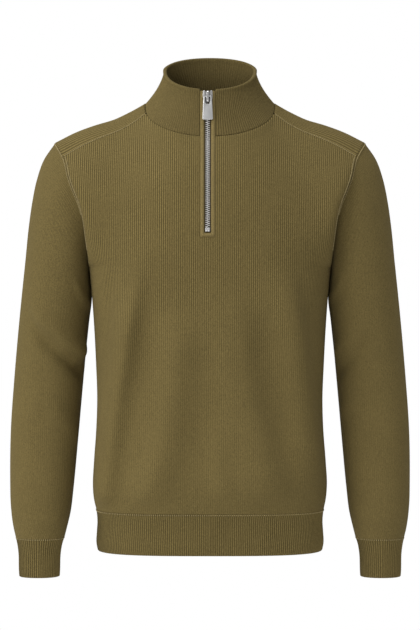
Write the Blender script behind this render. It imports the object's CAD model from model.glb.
"""Quarter zip sweater: the knit, seams, zip and finishes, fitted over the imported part.

Tables and lengths are in millimetres, and MM turns them into Blender's metres. X runs to the right
of someone who faces the front, -Y is forward and +Z is up. The cloth keeps close to the part's
solids, in finer faces, and adds the folds, fine ribs, seams and stitches.
"""

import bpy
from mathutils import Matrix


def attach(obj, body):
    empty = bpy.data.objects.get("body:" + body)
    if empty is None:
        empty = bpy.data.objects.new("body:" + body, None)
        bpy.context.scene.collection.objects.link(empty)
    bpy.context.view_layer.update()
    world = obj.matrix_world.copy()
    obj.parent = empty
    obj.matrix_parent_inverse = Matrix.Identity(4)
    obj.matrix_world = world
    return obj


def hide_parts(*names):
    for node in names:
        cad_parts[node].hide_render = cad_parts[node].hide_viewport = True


bl_info = {
    "name": "Quarter Zip Sweater",
    "version": (1, 0, 0),
    "blender": (4, 5, 0),
    "location": "View3D > Sidebar > Sweater",
    "description": "A knit pullover with a stand collar and a short zip, made piece by piece",
    "category": "Object",
}

import math
from collections import namedtuple
from functools import cache, partial

import bmesh
import bpy
import numpy as np
from bpy.props import FloatProperty, FloatVectorProperty, PointerProperty
from mathutils import Matrix, Vector

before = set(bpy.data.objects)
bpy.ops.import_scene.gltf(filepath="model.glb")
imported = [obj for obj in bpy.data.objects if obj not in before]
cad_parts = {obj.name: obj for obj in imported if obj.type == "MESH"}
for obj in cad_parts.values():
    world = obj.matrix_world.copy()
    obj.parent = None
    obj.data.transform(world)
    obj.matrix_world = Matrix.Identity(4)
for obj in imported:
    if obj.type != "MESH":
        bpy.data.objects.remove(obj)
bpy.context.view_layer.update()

MM = 0.001
GARMENT = "garment"
PULL_TAB = "pull_tab"
KNIT_MAP = "knit"

# Cloth.
WALL = 2.0
COLLAR_WALL = 3.4
BAND_WALL = 2.4
SEAM_GAP = 0.3
RIB_PITCH = 3.2
WALE = 1.6
COURSE = 1.3
RIB_FAINT = 0.25

# Body, from the hem up.
HEM_EDGE = -688.0
HEM_SEAM = -625.0
ARMPIT = -254.0
SHOULDER_TIP = -60.0
ARMHOLE_DEPTH = {-1: 62.0, 1: 64.0}
ARMHOLE_MIDDLE = 3.0
ARMHOLE_CORNER = {-1: math.radians(41.6), 1: math.radians(44.7)}
CHEST_LEAN = 2.2
TOP_HOLD = 16
TOP_SOFTNESS = 30.0
ARMHOLE_ROUNDING = 8
COLUMN_SQUARE = 2.8

# Neck and collar.
NECK_WIDTH = 101.0
NECK_DEPTH = {-1: 83.0, 1: 57.0}
NECK_MIDDLE = 5.0
NECK_SQUARE = 2.3
NECK_CORNER = {-1: 98.6, 1: 97.0}
COLLAR_WIDTH = 71.5
COLLAR_DEPTH = {-1: 67.0, 1: 42.0}
COLLAR_SQUARE = 2.1
COLLAR_FRONT = 16.5
COLLAR_TILT = 0.555
COLLAR_FLARE = 1.7

# Zip.
ZIP_X = -3.5
ZIP_SLOT = (-14.8, 7.8)
TRIM_OUTER = 11.0
TRIM_INNER = 5.4
TRIM_FOOT = -210.2
TAPE_OUTER = 10.6
CHAIN_TOP = 4.0
STOP_TOP = -196.5
STOP_HEIGHT = 6.2
STOP_WIDTH = 7.4
SLIDER_WIDTH = 14.8
SLIDER_FOOT_WIDTH = 10.0
SLIDER_TOP = 13.8
SLIDER_FOOT = -5.0
ARCH_HALF_WIDTH = 1.6
PIVOT_HEIGHT = 4.0
PIVOT_RAISE = 5.2
TAB_LENGTH = 37.0
TAB_TOP_WIDTH = 12.6
TAB_FOOT_WIDTH = 16.0
TAB_THICK = 1.6
TAB_BAR = 1.0
TAB_LEAN = math.radians(8.5)
TAB_TOP_ROUND = 2.4
TAB_FOOT_ROUND = 1.8
TAB_EDGE = 0.55
WINDOW_HALF_WIDTH = 3.85
WINDOW_CORNER = 1.2
WINDOW_FOOT = -12.0
TRIM_FOOT_WIDTH = 5.6
TRIM_DROP = 2.4
TRIM_TAPER = 1.6
TAPE_TAPER = 0.4
END_STEPS = np.array((0.0, 0.02, 0.3, 0.8, 1.5))
TRIM_LAP = 0.35
TRIM_EDGE = -0.7
TRIM_CROWN = 1.15
TAPE_CORD = 3.6
TOOTH_PITCH = 3.2
TOOTH_MIDDLE = 1.75
TOOTH_SIZE = (3.3, 1.25, 2.1)
TOOTH_HEAD = 0.45
TOOTH_HEAD_SIZE = (1.7, 1.45, 1.5)
TOOTH_ROUND = 0.28
STOP_ROUND = 0.7

# From these angles in degrees, an edge of the zip's pieces is shown sharp.
SHARP = 40
TOOTH_SHARP = 30

# How far the zip's layers stand in front of the cloth's face, from their backs to their fronts, or
# at the middle of a tooth.
TOOTH_LIFT = -1.5
TOOTH_HEAD_LIFT = -1.1
TRIM_LAYER = (-1.3, 0.9)
TAPE_LAYER = (-2.4, -1.6)
STOP_LAYER = (-1.2, 0.7)
PLATE_LAYER = (1.9, 3.7)
POST_LAYER = (-4.3, 2.6)
BACK_LAYER = (-5.1, -3.7)
ARCH_LAYER = (2.8, 8.0)
ARCH_THICK = 1.3


class Table:
    """Rows of named sizes, read as a smooth curve between them along the first column."""

    def __init__(self, columns, *rows):
        self.row = namedtuple("Row", columns)
        self.values = np.array(sorted(rows), float)
        self.slopes = np.gradient(self.values, self.values[:, 0], axis=0)

    def at(self, key):
        keys = self.values[:, 0]
        key = np.clip(key, keys[0], keys[-1])
        low = np.clip(np.searchsorted(keys, key, side="right") - 1, 0, len(keys) - 2)
        span = (keys[low + 1] - keys[low])[..., None]
        share = (key - keys[low])[..., None] / span
        read = (
            (1 + 2 * share) * (1 - share) ** 2 * self.values[low]
            + share * share * (3 - 2 * share) * self.values[low + 1]
            + span * share * (1 - share) ** 2 * self.slopes[low]
            - span * share * share * (1 - share) * self.slopes[low + 1]
        )
        return self.row(*np.moveaxis(read, -1, 0))


TORSO = Table(
    "height half_width front back square",
    (-688, 173.2, 113.5, 101.0, 2.9),
    (-678, 175.2, 114.5, 101.8, 2.9),
    (-660, 174.6, 113.0, 100.5, 2.9),
    (-644, 173.7, 112.0, 99.5, 2.9),
    (-625, 175.6, 114.5, 101.5, 2.9),
    (-612, 178.4, 118.0, 104.5, 2.85),
    (-592, 180.4, 121.0, 107.0, 2.8),
    (-550, 178.4, 121.0, 106.0, 2.8),
    (-505, 174.8, 119.0, 100.0, 2.75),
    (-459, 173.6, 117.5, 95.0, 2.7),
    (-404, 175.8, 118.0, 92.0, 2.7),
    (-350, 178.6, 120.0, 93.0, 2.7),
    (-304, 181.8, 122.5, 97.0, 2.7),
    (ARMPIT, 186.5, 124.0, 101.0, 2.7),
)

ARMHOLE = Table(
    "height front_x back_x",
    (ARMPIT, 186.5, 186.5),
    (-240, 187.0, 187.6),
    (-208, 190.4, 192.0),
    (-179, 194.6, 198.0),
    (-155, 201.3, 205.0),
    (-140, 207.6, 210.5),
    (-120, 215.0, 216.5),
    (-86, 224.4, 226.0),
    (SHOULDER_TIP, 239.5, 239.5),
)

NECK_HEIGHT = Table(
    "depth height",
    (-78, -55.5),
    (-70, -49.0),
    (-54, -38.0),
    (-29, -22.5),
    (-18, -16.0),
    (5, -1.0),
    (30, 3.5),
    (62, 4.0),
)

SHOULDER_SEAM = {
    -1: Table(
        "reach depth height",
        (98.6, -18.3, -16.2),
        (118, -23.5, -31.0),
        (136, -27.0, -41.5),
        (172, -33.0, -56.5),
        (194, -36.0, -66.8),
        (224.8, -38.2, -84.5),
    ),
    1: Table(
        "reach depth height",
        (97, 24.9, 2.8),
        (116, 32.0, -13.5),
        (136, 37.5, -26.0),
        (172, 44.0, -46.0),
        (200, 47.0, -65.5),
        (225.5, 48.0, -88.0),
    ),
}

SLEEVE = Table(
    "along outer_x outer_z inner_x inner_z middle depth square",
    (0.00, 239.5, -60.0, 186.5, -254.0, 3.0, 63.0, 2.0),
    (0.05, 257.5, -86.5, 186.0, -263.5, 3.0, 64.5, 2.0),
    (0.10, 268.0, -116.0, 184.8, -276.0, 3.0, 66.0, 2.0),
    (0.16, 275.5, -152.0, 183.4, -291.0, 3.0, 66.5, 2.0),
    (0.22, 280.8, -190.0, 183.6, -306.0, 3.0, 65.5, 2.05),
    (0.30, 286.0, -242.0, 187.0, -332.0, 3.5, 63.5, 2.1),
    (0.38, 291.5, -294.0, 190.2, -361.0, 4.5, 61.0, 2.15),
    (0.48, 297.6, -356.0, 194.0, -398.0, 6.0, 58.0, 2.2),
    (0.58, 303.3, -424.0, 198.6, -450.0, 4.5, 55.0, 2.2),
    (0.70, 308.0, -503.0, 204.4, -521.0, -3.0, 51.5, 2.2),
    (0.82, 308.4, -580.0, 210.4, -590.0, -10.5, 48.0, 2.2),
    (0.90, 306.8, -622.0, 214.8, -629.0, -15.0, 45.0, 2.2),
    (0.96, 303.0, -651.0, 220.2, -653.0, -18.0, 40.5, 2.2),
    (1.00, 298.8, -669.0, 224.2, -669.0, -19.5, 36.5, 2.2),
)
SLEEVE_HEAD = 0.26

CUFF = Table(
    "height outer_x inner_x middle depth",
    (-728.5, 293.2, 231.2, -23.0, 29.5),
    (-722, 293.8, 230.8, -22.8, 30.0),
    (-690, 295.0, 229.4, -21.0, 31.0),
    (-678, 296.8, 227.2, -20.2, 33.4),
    (-669, 298.8, 224.2, -19.5, 36.5),
)

# Folds: soft ridges and troughs along a path. before and after are the widths of their two flanks.
# On the body the path is of (x, z) from the top down, and the flanks are to the left and right.
Fold = namedtuple("Fold", "height before after path")
FOLDS = {
    -1: (
        Fold(
            21.0,
            25,
            17,
            ((-110, -225), (-114, -290), (-120, -334), (-130, -394), (-147, -500), (-170, -680)),
        ),
        Fold(14.0, 28, 34, ((-46, -290), (-49, -364), (-57, -455), (-72, -530), (-104, -640))),
        Fold(15.0, 58, 30, ((32, -275), (46, -400), (62, -480), (88, -575), (100, -640))),
        Fold(
            20.0,
            30,
            16,
            ((113, -235), (123, -304), (132, -364), (140, -425), (150, -500), (157, -612)),
        ),
        Fold(3.5, 16, 16, ((8, -480), (14, -540), (20, -612))),
        Fold(-3.5, 9, 8, ((-146, -238), (-149, -280), (-152, -330), (-155, -390))),
        Fold(2.0, 4, 4, ((-152, -400), (-161, -470), (-166, -600))),
    ),
    1: (
        Fold(10.0, 24, 26, ((-118, -240), (-128, -330), (-140, -430), (-152, -560))),
        Fold(8.0, 28, 30, ((-60, -300), (-66, -400), (-82, -500), (-104, -605))),
        Fold(4.5, 24, 22, ((-8, -420), (-4, -500), (6, -605))),
        Fold(8.5, 30, 27, ((56, -290), (64, -390), (76, -480), (92, -600))),
        Fold(10.5, 26, 24, ((116, -245), (124, -330), (138, -440), (150, -580))),
    ),
}

# How much of a fold goes each way: less sideways, so that the garment's outline stays. A fold comes
# and goes over these shares of its path, and fades out before the sides and over the hem's seam.
FOLD_WAY = (0.35, 1.0, 1.0)
FOLD_COMES = 0.3
FOLD_GOES = 0.2
FOLD_SIDE = 184.0
FOLD_SIDE_FADE = 22.0
FOLD_HEM_FADE = 30.0

# On a sleeve the path is of (z, turn), and the flanks are below and above. turn is the angle round
# it in degrees, 0 outside, 90 in front and 180 inside. The fades are shares of the sleeve's length.
CREASE_TOP = 0.12
CREASE_TOP_FADE = 0.1
CREASE_FOOT_FADE = 0.05
CREASES = {
    -1: (
        Fold(9.0, 13, 20, ((-306, 40), (-338, 80), (-364, 112), (-380, 143), (-386, 178))),
        Fold(-7.0, 13, 11, ((-336, 50), (-367, 84), (-390, 112), (-408, 143), (-414, 178))),
        Fold(2.5, 15, 16, ((-462, 84), (-500, 140), (-520, 178))),
        Fold(2.6, 10, 12, ((-268, 112), (-300, 140), (-318, 176))),
        Fold(2.2, 9, 9, ((-632, 40), (-642, 90), (-640, 150))),
        Fold(-3.5, 13, 12, ((-440, -176), (-418, -130), (-380, -70))),
        Fold(3.5, 13, 15, ((-412, -176), (-390, -130), (-352, -70))),
        Fold(2.2, 14, 14, ((-540, -160), (-500, -90), (-470, -40))),
    ),
    1: (
        Fold(4.2, 12, 15, ((-338, 84), (-368, 126), (-392, 176))),
        Fold(-3.8, 13, 10, ((-364, 84), (-397, 126), (-424, 176))),
        Fold(2.6, 14, 16, ((-424, 70), (-452, 120), (-486, 174))),
        Fold(2.4, 11, 12, ((-262, 118), (-292, 146), (-306, 176))),
        Fold(2.0, 9, 9, ((-636, 50), (-640, 100), (-632, 158))),
        Fold(-3.2, 12, 13, ((-452, -176), (-424, -120), (-396, -64))),
        Fold(3.2, 14, 13, ((-424, -176), (-396, -120), (-370, -64))),
        Fold(2.4, 13, 14, ((-560, -150), (-530, -100), (-505, -44))),
    ),
}

# The bands: their seams, the roll of the collar's top, and its ends and corners at the zip.
CUFF_SEAM = -668.1
CUFF_EDGE = -728.5
SEAM_TUCK = 1.0
COLLAR_ROLL = 1.5
ROLL_PLACE = 2.4
ROLL_SPREAD = 3.0
RIB_AT_EDGE = 0.35
END_ROUND = 1.7
CORNER_ROUND = 3.6
CORNER_REACH = 14.0

# The stitches on the seams: their pitch, how far they lie off a seam, and how far they are raised.
# Those round an armhole go over HEAD_TURNS of the sleeve, in degrees, and over EDGE_UPS of the panels.
STITCH_PITCH = 2.6
STITCH_DROP = 1.9
HEM_LIFT = 0.25
HEAD_STITCH = 0.003
HEAD_STEP = 0.004
HEAD_REACH = 1.9
HEAD_LIFT = 0.5
HEAD_TURNS = ((8, 100), (-100, -8))
EDGE_UPS = (1.3, 1.985)
STRIP_LIFT = 0.3
STRIP_STEP = 0.01
TRIM_MIDDLE = 8.2

# A stitch's size as shares of its length and width: a loop across a seam, or a cord along it.
LOOP_LENGTH = 0.85
CORD = (1.3, 2.0, 1.5)

# The stage, in metres: each light's name, place and power.
FLOOR_RADIUS = 1.4
GARMENT_MIDDLE = -0.35
LIGHT_SIZE = 1.6
LIGHTS = (
    ("Key", (-2.4, -2.2, 1.9), 47.0),
    ("Side", (-3.0, -1.0, 0.6), 25.0),
    ("Low", (-0.8, -3.0, -0.9), 20.0),
    ("Fill", (3.0, -1.4, -0.4), 4.0),
    ("Top", (0.0, -0.3, 2.4), 25.0),
)

# How finely the cloth is cut into faces, in millimetres or numbers of faces.
ROW_STEP = 5.0
SEAM_STEPS = np.array((0.0, 0.7, 1.5, 2.5, 4.0))
SLEEVE_COLUMNS = 144
STRIP_COLUMNS = 40
HEM_ROWS = 16
CUFF_ROWS = 14
COLLAR_ROWS = 22
RIB_COLUMNS = 4
ROLL_STEPS = 6
ZIP_ROWS = 88

# How finely curves are read, as numbers of points. The zip's own line is read over these rises of
# the collar and then over these of the front.
RING_SAMPLES = 1440
ROW_SAMPLES = 801
LINE_SAMPLES = 200
PANEL_SAMPLES = 4001
TOP_SAMPLES = 401
ZIP_RISES = (1, 0.03, 14)
ZIP_UPS = (1.97, 1.1, 24)
ZIP_SAMPLES = 160
FACING_STEP = 0.002

# Points that are nearer to each other than this are made one, in metres.
WELD = 2e-6

# The ribs of the body: from how far out they follow the cloth's turn, and how they fade.
UPRIGHT_REACH = 120.0
UPRIGHT_SPREAD = 50.0
ARMHOLE_FADE = 60.0
RIB_LOW = 0.4
RIB_FOOT = -330.0
RIB_RISE = 160.0

# The relief at seams: dips, welts beside them, and the ridges of the shoulder strips.
SEAM_SPREAD = 0.9
NECK_DIP = 1.7
NECK_SPREAD = 2.1
STRIP_WIDTH = 66.0
STRIP_RISE = 2.2
STRIP_RISE_PLACE = 0.15
RIDGE_PLACE = 0.9
RIDGE_SPREAD = 1.5
RIDGE_HEIGHT = 1.0
WELT_PLACE = 1.9
WELT_SPREAD = 1.1
WELT_FOOT = -235.0
WELT_FADE = 55.0
WELT_FAINT = 0.12
SIDES = ("first_column", "last_column")
SLEEVE_BORDERS = ("first_row", *SIDES)

# How finely the yarn and its dye vary, as scales of their noise.
FUZZ_SCALE = 1400.0
HEATHER_SCALE = 760.0
CLOUD_SCALE = 20.0
RIB_PATCH_SCALE = 11.0


# ---------------------------------------------------------------- settings


def length_property(name, default, description):
    return FloatProperty(name=name, description=description, default=default * MM, subtype="DISTANCE")


def colour_property(name, default, description):
    return FloatVectorProperty(
        name=name, description=description, default=default, subtype="COLOR", min=0.0, max=1.0
    )


class SweaterKnit(bpy.types.PropertyGroup):
    rib_depth: length_property("Rib depth", 0.7, "Height of the ribs on the collar, cuffs and hem")
    body_rib_depth: length_property("Body rib depth", 0.42, "Height of the fine ribs on the chest")
    seam_dip: length_property("Seam dip", 0.05, "How far the cloth sinks at a seam")
    welt: length_property("Welt", 0.25, "Height of the welts beside a seam")
    stitch_length: length_property("Stitch", 2.3, "Length of a seam's stitch")
    stitch_width: length_property("Stitch width", 1.05, "Width of a seam's stitch")


class SweaterColours(bpy.types.PropertyGroup):
    knit: colour_property("Knit", (0.163, 0.122, 0.044), "Yarn of the body and sleeves")
    band: colour_property("Bands", (0.148, 0.111, 0.040), "Yarn of the cuffs and hem")
    collar: colour_property("Collar", (0.139, 0.104, 0.038), "Yarn of the collar")
    seam: colour_property("Seam yarn", (0.330, 0.262, 0.125), "Lighter yarn along the seams")
    trim: colour_property("Zip trim", (0.225, 0.170, 0.067), "Yarn of the trim round the zip")
    tape: colour_property("Zip tape", (0.064, 0.048, 0.020), "Woven tape under the teeth")
    teeth: colour_property("Teeth", (0.95, 0.93, 0.90), "Plated teeth")
    cast: colour_property("Slider", (0.70, 0.69, 0.68), "Cast and plated slider and stop")
    steel: colour_property("Pull tab", (0.80, 0.80, 0.79), "Polished pull tab")
    floor: colour_property("Floor", (0.93, 0.93, 0.93), "Studio floor and backdrop")


class SweaterStage(bpy.types.PropertyGroup):
    camera_distance: FloatProperty(
        name="Camera distance",
        description="From the camera to the garment's middle plane",
        default=3.2,
        unit="LENGTH",
    )
    camera_height: FloatProperty(
        name="Camera height",
        description="Height of the camera over the garment's origin",
        default=-0.327,
        unit="LENGTH",
    )
    view_height: FloatProperty(
        name="View height",
        description="Height of what the camera sees in the garment's middle plane",
        default=0.9765,
        unit="LENGTH",
    )
    floor_height: FloatProperty(
        name="Floor height",
        description="Height of the floor over the garment's origin",
        default=-1.05,
        unit="LENGTH",
    )
    ambient: FloatProperty(
        name="Ambient light",
        description="How strongly the white surroundings light the garment",
        default=0.4,
        min=0.0,
    )


# ---------------------------------------------------------------- sizes and sections


def unit(vector):
    return vector / np.linalg.norm(vector, axis=-1, keepdims=True)


def power(value, exponent):
    """A power that keeps the sign, for a superellipse's four quarters."""
    return np.sign(value) * np.abs(value) ** exponent


def ease(value):
    """0 to 1, flat at both ends."""
    value = np.clip(value, 0.0, 1.0)
    return value * value * (3 - 2 * value)


def mix(start, end, share):
    return start + (end - start) * share


def hump(off, width):
    return np.exp(-((off / width) ** 2))


def place(x, y, z):
    return np.stack(np.broadcast_arrays(x, y, z), axis=-1)


def of_side(side, sizes):
    return np.where(np.asarray(side) < 0, sizes[-1], sizes[1])


def lengths(curve, axis=0):
    """The distance along a curve, or along each of a grid's curves, at every point."""
    steps = np.linalg.norm(np.diff(curve, axis=axis), axis=-1)
    start = np.zeros_like(np.take(steps, [0], axis=axis))
    return np.concatenate([start, np.cumsum(steps, axis=axis)], axis=axis)


def evenly(curve, count):
    """Points at even distances along a dense curve, which may be closed."""
    along = lengths(curve)
    places = np.linspace(0, along[-1], count + 1)
    return np.stack([np.interp(places, along, curve[:, k]) for k in range(3)], axis=1)


def armhole(side, turn, hand=1):
    """A point of the armhole: turn is 0 at the shoulder tip and pi at the armpit."""
    half = (SHOULDER_TIP - ARMPIT) / 2
    height = ARMPIT + half * (1 + np.cos(turn))
    row = ARMHOLE.at(height)
    reach = np.where(np.asarray(side) < 0, row.front_x, row.back_x)
    depth = ARMHOLE_MIDDLE + side * of_side(side, ARMHOLE_DEPTH) * np.sin(turn)
    return place(hand * reach, depth, height)


def neck_point(side, x):
    """A point of the neck seam, from its reach to one side."""
    share = np.minimum(np.abs(x) / NECK_WIDTH, 1.0)
    depth = (1 - share**NECK_SQUARE) ** (1 / NECK_SQUARE)
    y = NECK_MIDDLE + side * NECK_DEPTH[side] * depth
    return place(x, y, NECK_HEIGHT.at(y).height)


def top_edge(side, x):
    """Where a body panel ends: on the neck seam, and past its corner on the shoulder seam."""
    row = SHOULDER_SEAM[side].at(np.abs(x))
    inside = (np.abs(x) <= NECK_CORNER[side])[..., None]
    return np.where(inside, neck_point(side, x), place(x, row.depth, row.height))


def reach(across, width):
    """X of a column: the middle ones hold their place where the panel widens."""
    armpit = TORSO.at(ARMPIT).half_width
    return across * armpit + (width - armpit) * across**3


@cache
def soft_tops(side):
    """The depths and heights of a panel's top edge, evened out across the neck's corners."""
    width = armhole(side, ARMHOLE_CORNER[side])[0]
    xs = np.linspace(-width, width, TOP_SAMPLES)
    weights = hump(xs, TOP_SOFTNESS)
    padded = np.pad(top_edge(side, xs), ((len(xs) // 2,) * 2, (0, 0)), mode="edge")
    return xs, *(np.convolve(padded[:, k], weights / weights.sum(), mode="valid") for k in (1, 2))


def body(side, across, up):
    """A point of the body's outer face, from its share of the width and its rise.

    up is 0 at the hem seam, 1 at the armpit and 2 at the panel's top edge.
    """
    section = TORSO.at(mix(HEM_SEAM, ARMPIT, np.minimum(up, 1)))
    bulge = np.maximum(1 - np.abs(across) ** section.square, 0.0) ** (1 / section.square)
    depth = side * bulge * (section.front if side < 0 else section.back)
    low = place(reach(across, section.half_width), depth, section.height)
    corner = ARMHOLE_CORNER[side]
    over = np.maximum(up - 1, 0)
    edge = armhole(side, mix(math.pi, corner, over))
    last = armhole(side, corner)
    top = top_edge(side, reach(across, last[0]))
    edge_rise = np.maximum((edge[..., 2] - ARMPIT) / (last[2] - ARMPIT), 0.0)
    rise = mix(over, edge_rise, across * across)
    by_edge = np.abs(across) ** ARMHOLE_ROUNDING
    edge_gap = edge[..., 1] - last[1] * edge_rise**CHEST_LEAN
    xs, *soft = soft_tops(side)
    soft_depth, soft_height = (np.interp(top[..., 0], xs, values) for values in soft)
    hold = np.maximum(rise**TOP_HOLD, by_edge)
    height = mix(ARMPIT, top[..., 2], rise)
    lean = mix((height - ARMPIT) / (soft_height - ARMPIT), rise, hold)
    top_depth = mix(soft_depth, top[..., 1], hold)
    depth = mix(depth, top_depth, np.maximum(lean, 0) ** CHEST_LEAN) + edge_gap * by_edge
    high = place(reach(across, edge[..., 0]), depth, height)
    return np.where((up <= 1)[..., None], low, high)


def strip(hand, along, cross):
    """A point of the shoulder strip: along from neck to armhole, cross from front to back."""

    def seam(side, share):
        start = NECK_CORNER[side]
        end = armhole(side, ARMHOLE_CORNER[side])[0]
        return top_edge(side, mix(start, end, share))

    def neck_end(share):
        front, back = (neck_point(side, NECK_CORNER[side]) for side in (-1, 1))
        y = mix(front[1], back[1], share)
        depth = np.where(y < NECK_MIDDLE, NECK_DEPTH[-1], NECK_DEPTH[1])
        off = np.minimum(np.abs(y - NECK_MIDDLE) / depth, 1.0)
        x = NECK_WIDTH * (1 - off**NECK_SQUARE) ** (1 / NECK_SQUARE)
        return place(x, y, NECK_HEIGHT.at(y).height)

    def arm_end(share):
        side = np.where(share < 0.5, -1, 1)
        return armhole(side, np.abs(2 * share - 1) * of_side(side, ARMHOLE_CORNER))

    zero, one = np.zeros_like(cross), np.ones_like(cross)
    ends = mix(neck_end(cross), arm_end(cross), along[..., None])
    sides = mix(seam(-1, along), seam(1, along), cross[..., None])
    corners = mix(
        mix(neck_end(zero), neck_end(one), cross[..., None]),
        mix(arm_end(zero), arm_end(one), cross[..., None]),
        along[..., None],
    )
    return (ends + sides - corners) * (hand, 1, 1)


def sleeve_surface(along, turn, hand):
    """A point of the sleeve. It starts on the armhole and eases into its own rings."""

    def ring(share):
        row = SLEEVE.at(share)
        outer = place(row.outer_x, row.middle, row.outer_z)
        inner = place(row.inner_x, row.middle, row.inner_z)
        out = (1 + power(np.cos(turn), 2 / row.square)) / 2
        lean = place(0 * out, -row.depth * power(np.sin(turn), 2 / row.square), 0 * out)
        return mix(inner, outer, out[..., None]) + lean

    side = np.where(np.sin(turn) > 0, -1, 1)
    from_tip = np.abs((turn + math.pi) % (2 * math.pi) - math.pi)
    head = armhole(side, from_tip) - ring(np.zeros_like(along))
    return (ring(along) + head * ease(1 - along / SLEEVE_HEAD)[..., None]) * (hand, 1, 1)


def torso_ring(height):
    row = TORSO.at(height)
    turn = np.linspace(0, 2 * math.pi, RING_SAMPLES + 1)
    depth = np.where(np.cos(turn) > 0, row.front, row.back)
    x = reach(power(np.sin(turn), 2 / row.square), row.half_width)
    return place(x, -depth * power(np.cos(turn), 2 / row.square), row.height)


def cuff_ring(height, hand):
    row = CUFF.at(height)
    square = SLEEVE.at(1.0).square
    turn = np.linspace(0, 2 * math.pi, RING_SAMPLES + 1)
    middle = (row.outer_x + row.inner_x) / 2
    half = (row.outer_x - row.inner_x) / 2
    x = hand * middle + half * power(np.sin(turn), 2 / square)
    return place(x, row.middle - row.depth * power(np.cos(turn), 2 / square), row.height)


@cache
def collar_ring(rise):
    """The collar's whole ring at a share of its height, from the centre front round."""
    turn = np.linspace(0, 2 * math.pi, RING_SAMPLES + 1)
    front = np.cos(turn) > 0
    neck_depth = np.where(front, NECK_DEPTH[-1], NECK_DEPTH[1])
    x = NECK_WIDTH * power(np.sin(turn), 2 / NECK_SQUARE)
    y = NECK_MIDDLE - neck_depth * power(np.cos(turn), 2 / NECK_SQUARE)
    base = place(x, y, NECK_HEIGHT.at(y).height)
    depth = np.where(front, COLLAR_DEPTH[-1], COLLAR_DEPTH[1])
    x = COLLAR_WIDTH * power(np.sin(turn), 2 / COLLAR_SQUARE)
    y = NECK_MIDDLE - depth * power(np.cos(turn), 2 / COLLAR_SQUARE)
    z = COLLAR_FRONT + COLLAR_TILT * (y - NECK_MIDDLE + COLLAR_DEPTH[-1])
    inward = 1 - (1 - rise) ** COLLAR_FLARE
    return mix(base, place(x, y, z), np.array((inward, inward, rise)))


def crossing(ring, index, x):
    before, after = ring[index - 1], ring[index]
    return mix(before, after, (x - before[0]) / (after[0] - before[0]))


def open_collar(rise):
    """The collar's ring without the slot at its front."""
    ring = collar_ring(rise)
    right = np.argmax(ring[:, 0] > ZIP_SLOT[1])
    left = len(ring) - np.argmax(ring[::-1, 0] < ZIP_SLOT[0]) - 1
    kept = ring[right - 1 : left + 2].copy()
    kept[0] = crossing(ring, right, ZIP_SLOT[1])
    kept[-1] = crossing(ring, left + 1, ZIP_SLOT[0])
    return kept


# ---------------------------------------------------------------- folds


def fold_lift(fold, along, off):
    """One fold's height at places along its path and off it. It fades out towards both ends."""
    offs, alongs = np.array(sorted(fold.path, key=lambda point: point[1])).T
    start, end = fold.path[0][1], fold.path[-1][1]
    share = (along - start) / (end - start)
    off = off - np.interp(along, alongs, offs)
    width = np.where(off < 0, fold.before, fold.after)
    return fold.height * ease(share / FOLD_COMES) * ease((1 - share) / FOLD_GOES) * hump(off, width)


def fold_height(side, points):
    """How far the folds lift the body's cloth at each point, faded out towards every seam."""
    x, z = points[..., 0], points[..., 2]
    total = sum(fold_lift(fold, z, x) for fold in FOLDS[side])
    at_side = ease((FOLD_SIDE - np.abs(x)) / FOLD_SIDE_FADE)
    return total * at_side * ease((z - HEM_SEAM) / FOLD_HEM_FADE)


def crease_height(hand, along, turn, heights):
    """How far the creases lift a sleeve's cloth, faded out towards its head and its cuff."""
    total = sum(fold_lift(fold, np.degrees(turn), heights) for fold in CREASES[hand])
    return total * ease((along - CREASE_TOP) / CREASE_TOP_FADE) * ease((1 - along) / CREASE_FOOT_FADE)


# ---------------------------------------------------------------- meshes


def new_object(name, mesh_data, material, smooth_angle=None):
    mesh = bpy.data.meshes.new(name)
    mesh_data.to_mesh(mesh)
    mesh_data.free()
    obj = bpy.data.objects.new(name, mesh)
    bpy.context.scene.collection.objects.link(obj)
    mesh.materials.append(material)
    mesh.shade_smooth()
    if smooth_angle is not None:
        mesh.set_sharp_from_angle(angle=math.radians(smooth_angle))
    return obj


def closed_object(name, bm, material, smooth_angle=None):
    """An object from a closed mesh, with its faces turned outwards."""
    bmesh.ops.recalc_face_normals(bm, faces=bm.faces[:])
    return new_object(name, bm, material, smooth_angle)


def rounded_edges(bm, round_edge, segments):
    """Round off every edge of a mesh."""
    bmesh.ops.bevel(
        bm,
        geom=bm.edges[:],
        offset=round_edge * MM,
        affect="EDGES",
        segments=segments,
        profile=0.5,
        material=-1,
    )


def garment_piece(obj, slot, *nodes, body_name=GARMENT):
    """Ride the piece on its body, in its finish, in place of the part's own nodes."""
    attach(obj, body_name)
    if nodes:
        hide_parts(*nodes)
    return obj


def facings(points, closed=False):
    """The way a grid of points faces: its rows across its columns."""
    if closed:
        ahead = np.roll(points[:, :-1], -1, axis=1) - np.roll(points[:, :-1], 1, axis=1)
        ahead = np.concatenate([ahead, ahead[:, :1]], axis=1)
    else:
        ahead = np.gradient(points, axis=1)
    return unit(np.cross(ahead, np.gradient(points, axis=0)))


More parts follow.
